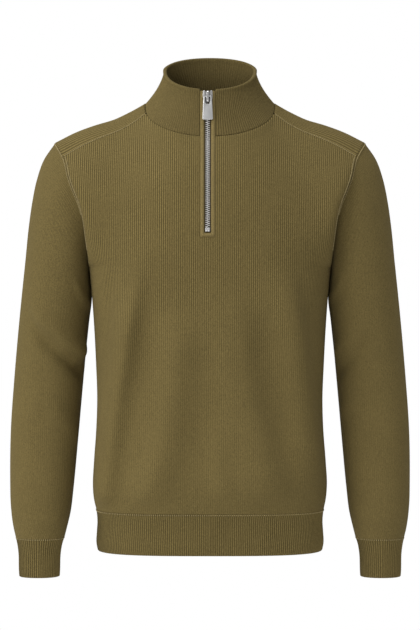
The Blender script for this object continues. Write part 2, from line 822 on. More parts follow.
def grid_mesh(points, knit, hole=None, flip=False):
    """A grid moved to its points, with the knit's own map, and without the faces of a hole."""
    rows, columns = points.shape[0] - 1, points.shape[1] - 1
    bm = bmesh.new()
    bmesh.ops.create_grid(bm, x_segments=columns, y_segments=rows, size=0.5)
    spots = {}
    for vert in bm.verts:
        spots[vert] = (round((vert.co.y + 0.5) * rows), round((vert.co.x + 0.5) * columns))
    if hole is not None:
        (low, high), (first, last) = hole
        cut = []
        for face in bm.faces:
            row = min(spots[vert][0] for vert in face.verts)
            column = min(spots[vert][1] for vert in face.verts)
            if low <= row < high and first <= column < last:
                cut.append(face)
        bmesh.ops.delete(bm, geom=cut, context="FACES")
    layer = bm.loops.layers.uv.new(KNIT_MAP)
    for face in bm.faces:
        for loop in face.loops:
            loop[layer].uv = knit[spots[loop.vert]] * MM
    for vert, spot in spots.items():
        if vert.is_valid:
            vert.co = points[spot] * MM
    bmesh.ops.remove_doubles(bm, verts=bm.verts[:], dist=WELD)
    if flip:
        bmesh.ops.reverse_faces(bm, faces=bm.faces[:])
    return bm


def walled(obj, thick):
    """Give a sheet its thickness, inwards."""
    solid = obj.modifiers.new("wall", "SOLIDIFY")
    solid.thickness = thick * MM
    solid.offset = -1.0


Cut = namedtuple("Cut", "width length area")


def cut_of(smooth):
    """The width, length and area of the flat cloth that a grid is made from, in metres."""
    over, down = smooth[1:, 1:] - smooth[:-1, :-1], smooth[1:, :-1] - smooth[:-1, 1:]
    area = float(np.linalg.norm(np.cross(over, down), axis=-1).sum()) / 2
    width = float(lengths(smooth, axis=1)[:, -1].max())
    length = float(lengths(smooth)[-1].max())
    return Cut(width * MM, length * MM, area * MM * MM)


def cloth_piece(made, slot, node):
    """Ride a piece of cloth on the garment, with the size that it was cut to."""
    obj, cut = made
    return garment_piece(obj, slot, node)


def seam_relief(points, knit, borders):
    """How the cloth sinks at each of the named borders of a grid, beside a raised welt."""
    down = lengths(points, axis=0)
    over = lengths(points, axis=1)
    distance = {
        "first_row": down,
        "last_row": down[-1:] - down,
        "first_column": over,
        "last_column": over[:, -1:] - over,
    }
    total = np.zeros(points.shape[:2])
    for border in borders:
        off = np.broadcast_to(distance[border], total.shape)
        total -= knit.seam_dip / MM * hump(off, SEAM_SPREAD)
        total += knit.welt / MM * hump(off - WELT_PLACE, WELT_SPREAD)
    return total * mix(WELT_FAINT, 1.0, ease((points[..., 2] - WELT_FOOT) / WELT_FADE))


# ---------------------------------------------------------------- body panels and strips


@cache
def panel_columns(side):
    """Each column's share across, two columns to a rib, and the columns of the slot."""
    turn = np.linspace(-math.pi / 2, math.pi / 2, PANEL_SAMPLES)
    across = power(np.sin(turn), 2 / COLUMN_SQUARE)
    curve = body(side, across, np.ones_like(across))
    along = lengths(curve)
    stops = [along[0], along[-1]]
    if side < 0:
        stops[1:1] = np.interp(ZIP_SLOT, curve[:, 0], along)
    places = [stops[0]]
    slot = []
    for start, end in zip(stops, stops[1:]):
        slot.append(len(places) - 1)
        places.extend(np.linspace(start, end, 2 * round((end - start) / RIB_PITCH) + 1)[1:])
    return np.interp(places, along, across), slot[1:]


@cache
def panel_rows(side):
    """The panel's rows, as body's up, close together at its seams, and the row at the zip's foot."""
    low = ARMPIT - HEM_SEAM
    chest = float(neck_point(side, np.float64(ZIP_X))[2]) - ARMPIT
    foot = 1 + (TRIM_FOOT - SEAM_GAP - ARMPIT) / chest
    last = SEAM_STEPS[-1]
    ups = [
        *SEAM_STEPS / low,
        *np.linspace(last / low, 1, round(low / ROW_STEP))[1:],
        *np.linspace(1, foot, round((foot - 1) * chest / ROW_STEP) + 1)[1:],
        *np.linspace(foot, 2 - last / chest, round((2 - foot) * chest / ROW_STEP))[1:],
        *(2 - SEAM_STEPS[-2::-1] / chest),
    ]
    return np.array(ups), int(np.argmin(np.abs(np.array(ups) - foot)))


def cloth_reach(curve):
    """How far from the middle a row's points lie on the cloth, which turns back at its sides."""
    x = curve[:, 0]
    steps = np.diff(curve, axis=0)
    turn = ease((np.abs(x[1:]) - UPRIGHT_REACH) / UPRIGHT_SPREAD)
    along = np.concatenate([[0], np.cumsum(np.hypot(steps[:, 0], steps[:, 1] * turn))])
    return along - np.interp(0.0, x, along)


def upright(side, across, ups):
    """Each row's columns. Above the armpit they stand upright, until the armhole cuts them off."""
    dense = np.linspace(-1, 1, ROW_SAMPLES)
    level = body(side, dense, np.ones_like(dense))
    wanted = np.interp(across, dense, cloth_reach(level))
    rows = []
    for up in ups:
        row = body(side, dense, np.full_like(dense, up))
        rows.append(across if up <= 1 else np.interp(wanted, cloth_reach(row), dense))
    return np.array(rows)


def body_facing(side, across, up):
    """The way the body faces at its points, also where columns run together."""
    step = FACING_STEP
    over = body(side, np.minimum(across + step, 1), up) - body(side, np.maximum(across - step, -1), up)
    rise = body(side, across, np.minimum(up + step, 2)) - body(side, across, np.maximum(up - step, 0))
    return unit(np.cross(over, rise)) * -side


def slot_dips(points, depth):
    """How far the cloth sinks round the zip's slot."""
    x, z = points[..., 0], points[..., 2]
    beside = np.maximum(ZIP_SLOT[0] - x, x - ZIP_SLOT[1])
    below = TRIM_FOOT - SEAM_GAP - z
    return -depth * hump(np.hypot(np.maximum(beside, 0), np.maximum(below, 0)), SEAM_SPREAD)


def body_panel(name, side, knit, material):
    across, slot = panel_columns(side)
    ups, foot_row = panel_rows(side)
    grid_up = np.broadcast_to(ups[:, None], (len(ups), len(across)))
    grid_across = upright(side, across, ups)
    smooth = body(side, grid_across, grid_up)
    facing = body_facing(side, grid_across, grid_up)
    chest = mix(RIB_LOW, 1.0, ease((smooth[..., 2] - RIB_FOOT) / RIB_RISE))
    chest = chest * ease((1 - np.abs(grid_across)) * ARMHOLE_FADE)
    ribs = (np.arange(len(across)) % 2 - 0.5) * chest * knit.body_rib_depth / MM
    folds = fold_height(side, smooth)[..., None] * facing * FOLD_WAY
    lift = ribs + seam_relief(smooth, knit, SIDES)
    hole = None
    at_neck = (np.abs(smooth[-1:, :, 0]) < NECK_CORNER[side]) * NECK_DIP
    down = lengths(smooth)
    lift = lift - at_neck * hump(down[-1:] - down, NECK_SPREAD)
    if side < 0:
        lift = lift + slot_dips(smooth, knit.seam_dip / MM)
        hole = ((foot_row, len(ups) - 1), slot)
    points = smooth + folds + facing * lift[..., None]
    wales = np.broadcast_to((np.arange(len(across)) + 1) * RIB_PITCH / 2, grid_up.shape)
    on_knit = np.stack([wales, down], axis=-1)
    obj = new_object(name, grid_mesh(points, on_knit, hole, flip=side > 0), material)
    walled(obj, WALL)
    return obj, cut_of(smooth)


def shoulder_strip(name, hand, knit, material):
    """A strip whose ribs run from the neck to the armhole, with a ridge along each long seam."""
    rows = np.linspace(0, 1, 2 * round(STRIP_WIDTH / RIB_PITCH) + 1)
    along, cross = np.meshgrid(np.linspace(0, 1, STRIP_COLUMNS + 1), rows)
    smooth = strip(hand, along, cross)
    facing = facings(smooth) * hand
    ribs = (np.arange(len(rows)) % 2 - 0.5)[:, None] * knit.body_rib_depth / MM
    down = lengths(smooth)
    ridge = hump(down - RIDGE_PLACE, RIDGE_SPREAD) + hump(down[-1:] - down - RIDGE_PLACE, RIDGE_SPREAD)
    rise = STRIP_RISE * hump(along - STRIP_RISE_PLACE, STRIP_RISE_PLACE) * np.sin(np.pi * cross)
    lift = ribs + rise + RIDGE_HEIGHT * ridge + seam_relief(smooth, knit, ("last_column",))
    points = smooth + facing * lift[..., None]
    wales = np.broadcast_to((np.arange(len(rows))[:, None] + 1) * RIB_PITCH / 2, along.shape)
    on_knit = np.stack([wales, lengths(smooth, axis=1)], axis=-1)
    obj = new_object(name, grid_mesh(points, on_knit, flip=hand < 0), material)
    walled(obj, WALL)
    return obj, cut_of(smooth)


# ---------------------------------------------------------------- sleeves


def sleeve(name, hand, knit, material):
    """A sleeve, with its seam inside the arm."""
    outside_line = sleeve_surface(np.linspace(0, 1, LINE_SAMPLES), np.zeros(LINE_SAMPLES), hand)
    length = float(lengths(outside_line)[-1])
    last = SEAM_STEPS[-1] / length
    alongs = [
        *SEAM_STEPS / length,
        *np.linspace(last, 1 - last, round(length / ROW_STEP))[1:-1],
        *(1 - SEAM_STEPS[::-1] / length),
    ]
    turn, along = np.meshgrid(np.linspace(-math.pi, math.pi, SLEEVE_COLUMNS + 1), alongs)
    smooth = sleeve_surface(along, turn, hand)
    facing = facings(smooth, closed=True) * hand
    lift = crease_height(hand, along, turn, smooth[..., 2]) + seam_relief(smooth, knit, SLEEVE_BORDERS)
    points = smooth + facing * lift[..., None]
    over = lengths(smooth, axis=1)
    outside = over[:, SLEEVE_COLUMNS // 2][:, None]
    on_knit = np.stack([over - outside, lengths(smooth)], axis=-1)
    obj = new_object(name, grid_mesh(points, on_knit, flip=hand < 0), material)
    walled(obj, WALL)
    return obj, cut_of(smooth)


# ---------------------------------------------------------------- ribbed bands and collar


def roll_profile(length, thick, steps):
    """Round a folded band: each point's distance from the seam, its depth and its rib's share.

    It runs down the outer face, round the edge, up the inner face and round the seam.
    """
    radius = thick / 2
    straight = np.linspace(radius, length - radius, steps)
    turn = np.linspace(0, math.pi, ROLL_STEPS + 1)[1:-1]
    round_end, round_depth = radius * np.sin(turn), radius * (1 - np.cos(turn))
    along = [*straight, *(length - radius + round_end), *straight[::-1], *(radius - round_end)]
    depth = [*(0 * straight), *round_depth, *(0 * straight + thick), *round_depth[::-1]]
    face = [*(0 * straight + 1), *np.cos(turn), *(0 * straight - 1), *-np.cos(turn)]
    return np.array(along), np.array(depth), np.array(face)


def rounded_off(off, radius):
    """The share of full size at a distance from an end that is rounded off."""
    return np.sqrt(np.clip(1 - (1 - np.minimum(off / radius, 1)) ** 2, 0, 1))


def ribbed_band(name, ring_at, span, thick, steps, knit, material, closed=True, bulge=0.0):
    """A folded band with ribs on both its faces. span is the ring's values at the seam and edge."""
    base_rows = np.linspace(0, 1, 4 * steps)
    rings = [ring_at(mix(*span, float(row))) for row in base_rows]
    ribs = round(float(lengths(rings[len(rings) // 2])[-1]) / RIB_PITCH)
    columns = RIB_COLUMNS * ribs
    base = np.array([evenly(ring, columns) for ring in rings])
    falls = span[1] < span[0]
    facing = facings(base, closed) * (-1 if falls else 1)
    down = np.mean(lengths(base), axis=1)
    along, depth, face = roll_profile(down[-1], thick, steps)
    crown = 0.5 + 0.5 * np.cos(2 * math.pi * np.arange(columns + 1) / RIB_COLUMNS)
    shrink = np.maximum(np.abs(face), RIB_AT_EDGE)[:, None] * knit.rib_depth / MM
    outside = (face > 0)[:, None]
    inset = np.where(outside, shrink * (1 - crown), -shrink * crown)
    swell = bulge * hump(down[-1] - ROLL_PLACE - along, ROLL_SPREAD) * face
    depth = depth[:, None] + inset - swell[:, None]
    places = np.broadcast_to(along[:, None], depth.shape)
    if not closed:
        off = lengths(base[0])
        off = np.minimum(off, off[-1] - off)
        depth = thick / 2 + (depth - thick / 2) * rounded_off(off, END_ROUND)
        drop = CORNER_ROUND * (1 - rounded_off(off, CORNER_ROUND))
        places = places - drop * ease(1 + (along[:, None] - down[-1]) / CORNER_REACH)
    place_in = np.interp(places, down, np.arange(len(down)))
    low = np.minimum(place_in.astype(int), len(down) - 2)
    share = (place_in - low)[..., None]
    column = np.arange(columns + 1)
    at = mix(base[low, column], base[low + 1, column], share)
    out = unit(mix(facing[low, column], facing[low + 1, column], share))
    points = at - out * depth[..., None]
    points = np.concatenate([points, points[:1]])
    over = lengths(base[len(base) // 2])
    along = np.concatenate([along, along[:1]])
    on_knit = np.stack(np.broadcast_arrays(over[None, :], along[:, None]), axis=-1)
    bm = grid_mesh(points, on_knit, flip=falls)
    return new_object(name, bm, material), cut_of(base)


# ---------------------------------------------------------------- stitches


def seam_line(rows, sign, pitch):
    """Even places along the middle one of three rows, with the ways ahead and out there."""
    rows = np.array(rows)
    out = facings(rows)[1] * sign
    along = lengths(rows[1])
    count = max(round(along[-1] / pitch), 2)
    spots = (np.arange(count) + 0.5) * along[-1] / count
    ahead = np.gradient(rows[1], axis=0)

    def at(values):
        return np.stack([np.interp(spots, along, values[:, k]) for k in range(3)], axis=1)

    return at(rows[1]), unit(at(ahead)), unit(at(out))


def oriented(spot, ahead, out, size):
    """A matrix that lays a unit shape at a spot, its x ahead and its z out, at a size."""
    across = np.cross(out, ahead)
    turn = Matrix(np.stack([ahead, across, np.cross(ahead, across)], axis=1).tolist())
    scale = Matrix.Diagonal(Vector(size) * MM)
    return Matrix.Translation(Vector(spot) * MM) @ (turn @ scale).to_4x4()


def add_stitches(bm, line, size, lift=0.0, lean=0.0):
    """Add a row of short round stitches, raised by lift and leaning by an angle."""
    for spot, ahead, out in zip(*line):
        ahead = ahead * math.cos(lean) + np.cross(out, ahead) * math.sin(lean)
        matrix = oriented(spot + out * lift, ahead, out, size)
        bmesh.ops.create_uvsphere(bm, u_segments=6, v_segments=4, radius=0.5, matrix=matrix)


def stitch_piece(name, bm, material, slot):
    layer = bm.loops.layers.uv.new(KNIT_MAP)
    for face in bm.faces:
        for loop in face.loops:
            loop[layer].uv = (loop.vert.co.x, loop.vert.co.z)
    return garment_piece(new_object(name, bm, material), slot)


def ring_rows(ring_at, value, step):
    return [ring_at(value + step), ring_at(value), ring_at(value - step)]


def armhole_rows(hand, along, first, last):
    """Three rows of the sleeve near its head, from one turn to another."""
    turns = np.radians(np.linspace(first, last, LINE_SAMPLES))
    return [
        sleeve_surface(np.full_like(turns, share), turns, hand)
        for share in (along - HEAD_STEP, along, along + HEAD_STEP)
    ]


def panel_edge_rows(side, hand):
    """Three rows of a body panel beside the armhole, from below its middle up to its corner."""
    ups = np.linspace(*EDGE_UPS, LINE_SAMPLES)
    rows = []
    for inset in (HEAD_REACH + 1, HEAD_REACH, HEAD_REACH - 1):
        widths = armhole(side, mix(math.pi, ARMHOLE_CORNER[side], ups - 1))[:, 0]
        rows.append(body(side, hand * (1 - inset / widths), ups))
    return rows


def strip_rows(hand, cross):
    """Three rows of a shoulder strip at one of its long seams."""
    alongs = np.linspace(STRIP_STEP, 1 - STRIP_STEP, LINE_SAMPLES)
    crosses = (cross - STRIP_STEP, cross, cross + STRIP_STEP)
    return [strip(hand, alongs, np.full_like(alongs, share)) for share in crosses]


# ---------------------------------------------------------------- zip


def zip_line(x):
    """The outer face's line down the centre front at x, from the collar's top to the trim's foot."""
    points = []
    for rise in np.linspace(*ZIP_RISES):
        ring = collar_ring(float(rise))[: RING_SAMPLES // 4]
        points.append((x, *(np.interp(abs(x), ring[:, 0], ring[:, k]) for k in (1, 2))))
    ups = np.linspace(*ZIP_UPS)
    across = np.full_like(ups, x / TORSO.at(ARMPIT).half_width)
    return np.concatenate([np.array(points), body(-1, across, ups)])


@cache
def zip_face():
    """Down the zip: heights, depths on the centre line and beside it, and the way it faces."""
    centre = evenly(zip_line(ZIP_X), ZIP_SAMPLES)
    weights = np.array((1, 2, 3, 2, 1)) / 9
    smooth = centre.copy()
    for k in (1, 2):
        smooth[2:-2, k] = np.convolve(centre[:, k], weights, mode="valid")
    run = np.gradient(smooth, axis=0)
    out = unit(np.stack([run[:, 2], -run[:, 1]], axis=1))
    heights = smooth[::-1, 2]
    beside = []
    for offset in (-TRIM_OUTER, TRIM_OUTER):
        line = zip_line(ZIP_X + offset)
        beside.append(np.interp(heights, line[::-1, 2], line[::-1, 1]) - smooth[::-1, 1])
    return heights, smooth[::-1, 1], beside, out[::-1]


def zip_place(offset, height, lift=0.0):
    """A point over the cloth's face at the zip: beside its middle, at a height, raised by lift."""
    heights, depths, (left, right), out = zip_face()
    share = np.asarray(offset) / TRIM_OUTER
    left, right = np.interp(height, heights, left), np.interp(height, heights, right)
    sag = (right - left) / 2 * share + (right + left) / 2 * share * share
    y = np.interp(height, heights, depths) + sag + np.interp(height, heights, out[:, 0]) * lift
    z = height + np.interp(height, heights, out[:, 1]) * lift
    return place(ZIP_X + np.asarray(offset), y, z)


def zip_slope(height):
    heights, _, _, out = zip_face()
    y, z = (float(np.interp(height, heights, out[:, k])) for k in range(2))
    return math.atan2(z, -y)


def down_zip(top, foot):
    """Heights down the zip, close together at the top, where a strip's end is rounded."""
    rest = np.linspace(top - END_STEPS[-1], foot, ZIP_ROWS)[1:]
    return np.array([*(top - END_STEPS), *rest])


def trim_path():
    """The middle of the trim: down one side, round its square foot and up the other."""
    middle, low = (TRIM_OUTER + TRIM_INNER) / 2, TRIM_FOOT + TRIM_FOOT_WIDTH / 2
    corner = TRIM_FOOT_WIDTH * 0.6
    side = down_zip(COLLAR_FRONT - TRIM_DROP, low + corner)
    right = [*((middle, height) for height in side), (middle, low), (middle - corner, low)]
    return np.array([*right, *((-x, height) for x, height in reversed(right))])


def strip_mesh(path, profile, shrink):
    """A strip with mitred corners along a path of (offset, height).

    Its closed profile is of (across, lift), and shrink is the share of its size along the path.
    """
    run = unit(np.diff(path, axis=0))
    normal = np.stack([-run[:, 1], run[:, 0]], axis=1)
    before, after = np.concatenate([normal[:1], normal]), np.concatenate([normal, normal[-1:]])
    side = (before + after) / (1 + np.sum(before * after, axis=1, keepdims=True))
    across = profile[None, :, 0] * shrink[:, None]
    offset = path[:, None, 0] + side[:, None, 0] * across
    height = path[:, None, 1] + side[:, None, 1] * across
    middle = np.mean(profile[:, 1])
    lift = middle + (profile[None, :, 1] - middle) * shrink[:, None]
    points = zip_place(offset, height, lift)
    along = lengths(np.stack([path[:, 0], path[:, 1], 0 * path[:, 0]], axis=1))
    on_knit = np.stack(np.broadcast_arrays(profile[None, :, 0], along[:, None]), axis=-1)
    return grid_mesh(points, on_knit)


def pillow(half_width, back, edge, crown, steps=8):
    """A closed profile with a flat back and a crowned face."""
    across = np.linspace(-half_width, half_width, steps + 1)
    face = edge + (crown - edge) * np.sqrt(np.clip(1 - (across / half_width) ** 2, 0, 1))
    loop = [*zip(across, face), *((x, back) for x in np.linspace(half_width, -half_width, 3))]
    return np.array([*loop, loop[0]])


def tapered(path, reach):
    """The share of its size that a strip has along its path, rounded off at both ends."""
    along = np.concatenate([[0], np.cumsum(np.linalg.norm(np.diff(path, axis=0), axis=1))])
    return rounded_off(np.minimum(along, along[-1] - along), reach)


def zip_trim(name, material):
    path = trim_path()
    half = (TRIM_OUTER - TRIM_INNER) / 2 + TRIM_LAP
    profile = pillow(half, TRIM_LAYER[0], TRIM_EDGE, TRIM_CROWN)
    bm = strip_mesh(path, profile, tapered(path, TRIM_TAPER))
    return garment_piece(closed_object(name, bm, material), "trim_knit", "zip_trim")


def zip_tape(name, hand, node, material):
    """A woven tape with a corded edge under the teeth."""
    heights = down_zip(COLLAR_FRONT - 2 * TRIM_DROP, TRIM_FOOT + 2)
    path = np.stack([0 * heights, heights], axis=1)
    low, high = TAPE_LAYER
    edge, outer = TAPE_CORD, TAPE_OUTER
    loop = [(edge - 0.9, high), (edge - 0.4, high + 0.6), (edge + 0.4, high + 0.7), (edge + 1.0, high)]
    loop += [(mix(edge + 1.0, outer, share), high) for share in (0.35, 0.7, 1.0)]
    loop += [(outer, low), (edge, low), (edge - 0.9, high)]
    profile = np.array(loop) * (hand, 1)
    bm = strip_mesh(path, profile, tapered(path, TAPE_TAPER))
    return garment_piece(closed_object(name, bm, material, SHARP), "zip_tape", node)


def zip_frame(offset, height, lift):
    """Where something on the zip lies, with the ways across and out."""
    spot = zip_place(offset, height, lift)
    slope = zip_slope(height)
    return spot, np.array((1.0, 0.0, 0.0)), np.array((0.0, -math.cos(slope), math.sin(slope)))


def zip_teeth(name, material):
    """Two rows of teeth, each reaching over the middle between two of the other side's."""
    bm = bmesh.new()
    heights = np.arange(STOP_TOP + TOOTH_PITCH / 2, CHAIN_TOP, TOOTH_PITCH / 2)
    for index, height in enumerate(heights):
        hand = 1 if index % 2 else -1
        spot, across, out = zip_frame(hand * TOOTH_MIDDLE, float(height), TOOTH_LIFT)
        matrix = oriented(spot, across, out, TOOTH_SIZE)
        bmesh.ops.create_cube(bm, size=1.0, matrix=matrix)
        spot, across, out = zip_frame(hand * TOOTH_HEAD, float(height), TOOTH_HEAD_LIFT)
        matrix = oriented(spot, across, out, TOOTH_HEAD_SIZE)
        bmesh.ops.create_cube(bm, size=1.0, matrix=matrix)
    rounded_edges(bm, TOOTH_ROUND, 1)
    return garment_piece(closed_object(name, bm, material, TOOTH_SHARP), "zip_metal", "zip_chain")


def zip_stop(name, material):
    """The bottom stop: a clip bent round both tapes, with a groove down its middle."""
    bm = bmesh.new()
    height = STOP_TOP - STOP_HEIGHT / 2
    for hand in (-1, 1):
        spot, across, out = zip_frame(hand * STOP_WIDTH * 0.24, height, sum(STOP_LAYER) / 2)
        size = (STOP_WIDTH * 0.52, STOP_HEIGHT, STOP_LAYER[1] - STOP_LAYER[0])
        bmesh.ops.create_cube(bm, size=1.0, matrix=oriented(spot, across, out, size))
    rounded_edges(bm, STOP_ROUND, 3)
    return garment_piece(closed_object(name, bm, material, SHARP), "zip_metal", "zip_stop")


# ---------------------------------------------------------------- slider and pull tab


def arc(centre, radius, start, end, steps):
    x, z = centre
    angles = np.radians(np.linspace(start, end, steps + 1))
    return [(x + radius * math.cos(angle), z + radius * math.sin(angle)) for angle in angles]


def mirrored(points):
    """An outline of (x, z) points down one side, closed by the same points up the other."""
    return [*points, *((-x, z) for x, z in reversed(points) if x != 0)]


def rounded_plate(outlines, low, high, round_edge):
    """An upright plate with rounded edges, from low to high in depth, that may have holes."""
    curve = bpy.data.curves.new("outline", "CURVE")
    curve.dimensions = "2D"
    curve.fill_mode = "BOTH"
    curve.extrude = (high - low) / 2 * MM - round_edge * MM
    curve.bevel_depth = round_edge * MM
    curve.offset = -round_edge * MM
    curve.bevel_resolution = 2
    for points in outlines:
        spline = curve.splines.new("POLY")
        spline.points.add(len(points) - 1)
        spline.use_cyclic_u = True
        for point, (x, z) in zip(spline.points, points):
            point.co = (x * MM, z * MM, 0.0, 1.0)
    flat = bpy.data.objects.new("outline", curve)
    bpy.context.scene.collection.objects.link(flat)
    mesh = bpy.data.meshes.new_from_object(flat.evaluated_get(bpy.context.evaluated_depsgraph_get()))
    bpy.data.objects.remove(flat)
    bpy.data.curves.remove(curve)
    bm = bmesh.new()
    bm.from_mesh(mesh)
    bpy.data.meshes.remove(mesh)
    bmesh.ops.remove_doubles(bm, verts=bm.verts[:], dist=WELD)
    bmesh.ops.rotate(bm, verts=bm.verts[:], cent=(0, 0, 0), matrix=Matrix.Rotation(math.pi / 2, 3, "X"))
    bmesh.ops.translate(bm, verts=bm.verts[:], vec=(0, (high + low) / 2 * MM, 0))
    return bm


def merge_into(bm, *others):
    for other in others:
        mesh = bpy.data.meshes.new("part")
        other.to_mesh(mesh)
        other.free()
        bm.from_mesh(mesh)
        bpy.data.meshes.remove(mesh)


def rounded_box(x, y, z, round_edge):
    bm = bmesh.new()
    bmesh.ops.create_cube(bm, size=1.0)
    for vert in bm.verts:
        for k, (low, high) in enumerate((x, y, z)):
            vert.co[k] = mix(low, high, vert.co[k] + 0.5) * MM
    rounded_edges(bm, round_edge, 2)
    return bm


def at_pivot(bm, raised, lean):
    """Move a mesh that is made round the pivot to its place on the zip, at a lean."""
    origin = zip_place(0.0, PIVOT_HEIGHT, raised)
    turn = Matrix.Rotation(-lean, 4, "X")
    bmesh.ops.transform(bm, verts=bm.verts[:], matrix=Matrix.Translation(Vector(origin) * MM) @ turn)


def slider_outline(top, foot):
    half = SLIDER_WIDTH / 2
    return mirrored(
        [
            (1.2, top - 0.6),
            (2.4, top - 2.4),
            *arc((half - 2.0, top - 2.0), 2.0, 130, 20, 5),
            (half, foot + 8.5),
            (half - 0.4, foot + 5.5),
            (SLIDER_FOOT_WIDTH / 2, foot + 1.0),
            (SLIDER_FOOT_WIDTH / 2 - 1.2, foot),
        ]
    )


def slider(name, material):
    """Two plates joined by a post and flanges, with the arch that holds the pull tab."""
    top, foot = SLIDER_TOP - PIVOT_HEIGHT, SLIDER_FOOT - PIVOT_HEIGHT
    outline = slider_outline(top, foot)
    bm = rounded_plate([outline], -PLATE_LAYER[1], -PLATE_LAYER[0], 0.5)
    back = rounded_plate([outline], -BACK_LAYER[1], -BACK_LAYER[0], 0.4)
    post = rounded_box((-2.4, 2.4), (-POST_LAYER[1], -POST_LAYER[0]), (1.6, top - 3.2), 0.5)
    root, crown = (-y for y in ARCH_LAYER)
    high, low = top - 1.4, foot + 0.2
    under = crown + ARCH_THICK
    outer = [(root, low), *arc((crown + 2.4, low + 2.4), 2.4, 270, 180, 5)]
    outer += [*arc((crown + 2.6, high - 2.6), 2.6, 180, 90, 5), (root, high)]
    inner = [(root, high - 1.8), *arc((under + 1.4, high - 3.2), 1.4, 90, 180, 4)]
    inner += [*arc((under + 1.4, low + 3.0), 1.4, 180, 270, 4), (root, low + 1.6)]
    arch = rounded_plate([outer + inner], -ARCH_HALF_WIDTH, ARCH_HALF_WIDTH, 0.35)
    turn = Matrix.Rotation(math.pi / 2, 3, "Z")
    bmesh.ops.rotate(arch, verts=arch.verts[:], cent=(0, 0, 0), matrix=turn)
    flanges = []
    for hand in (-1, 1):
        x = sorted((hand * (SLIDER_WIDTH / 2 - 1.1), hand * (SLIDER_WIDTH / 2 - 0.1)))
        flanges.append(rounded_box(x, (-PLATE_LAYER[0] - 0.3, 0.6), (foot + 8.0, top - 2.6), 0.3))
    merge_into(bm, back, post, arch, *flanges)
    at_pivot(bm, 0.0, zip_slope(PIVOT_HEIGHT))
    return garment_piece(closed_object(name, bm, material, SHARP), "zip_metal", "zip_slider")


def pull_tab(name, material):
    """The tab: a plain plate that widens towards its foot, with a window at its top."""
    foot = TAB_BAR - TAB_LENGTH
    top_half, foot_half = TAB_TOP_WIDTH / 2, TAB_FOOT_WIDTH / 2
    top, low = TAB_BAR - TAB_TOP_ROUND, foot + TAB_FOOT_ROUND
    outline = [
        *arc((top_half - TAB_TOP_ROUND, top), TAB_TOP_ROUND, 0, 90, 6),
        *arc((TAB_TOP_ROUND - top_half, top), TAB_TOP_ROUND, 90, 180, 6),
        *arc((TAB_FOOT_ROUND - foot_half, low), TAB_FOOT_ROUND, 180, 270, 6),
        *arc((foot_half - TAB_FOOT_ROUND, low), TAB_FOOT_ROUND, 270, 360, 6),
    ]
    half, corner = WINDOW_HALF_WIDTH, WINDOW_CORNER
    window = [
        *arc((half - corner, -TAB_BAR - corner), corner, 0, 90, 4),
        *arc((corner - half, -TAB_BAR - corner), corner, 90, 180, 4),
        *arc((0.0, WINDOW_FOOT + half), half, 180, 360, 14),
    ]
    bm = rounded_plate([outline, window], -TAB_THICK / 2, TAB_THICK / 2, TAB_EDGE)
    at_pivot(bm, PIVOT_RAISE, TAB_LEAN)
    obj = closed_object(name, bm, material, SHARP)
    return garment_piece(obj, "tab_metal", "pull_tab", body_name=PULL_TAB)


# ---------------------------------------------------------------- materials


class Look:
    """A material's nodes, and short ways to add to them."""

    def __init__(self, name):
        self.material = bpy.data.materials.new(name)
        self.material.use_nodes = True
        self.tree = self.material.node_tree
        self.shader = self.tree.nodes["Principled BSDF"]

    def add(self, kind, inputs, output=0, **settings):
        """Add a node, set or link its inputs, and return one of its outputs."""
        node = self.tree.nodes.new(kind)
        for key, value in settings.items():
            setattr(node, key, value)
        for key, value in inputs.items():
            self.fill(node.inputs[key], value)
        return node.outputs[output]

    def fill(self, socket, value):
        if isinstance(value, bpy.types.NodeSocket):
            self.tree.links.new(value, socket)
        else:
            socket.default_value = value

    def maths(self, operation, first, second=0.0, third=0.0):
        inputs = {0: first, 1: second, 2: third}
        return self.add("ShaderNodeMath", inputs, operation=operation)

    def noise(self, spot, scale, detail=2.0, stretch=(1.0, 1.0, 1.0)):
        moved = self.add("ShaderNodeMapping", {"Vector": spot, "Scale": stretch})
        return self.add("ShaderNodeTexNoise", {"Vector": moved, "Scale": scale, "Detail": detail})

    def set(self, **values):
        for key, value in values.items():
            self.fill(self.shader.inputs[key.replace("_", " ")], value)

    def tinted(self, colour, shade):
        """The colour times a grey shade."""
        return self.add(
            "ShaderNodeVectorMath", {0: tuple(colour), "Scale": shade}, operation="SCALE"
        )


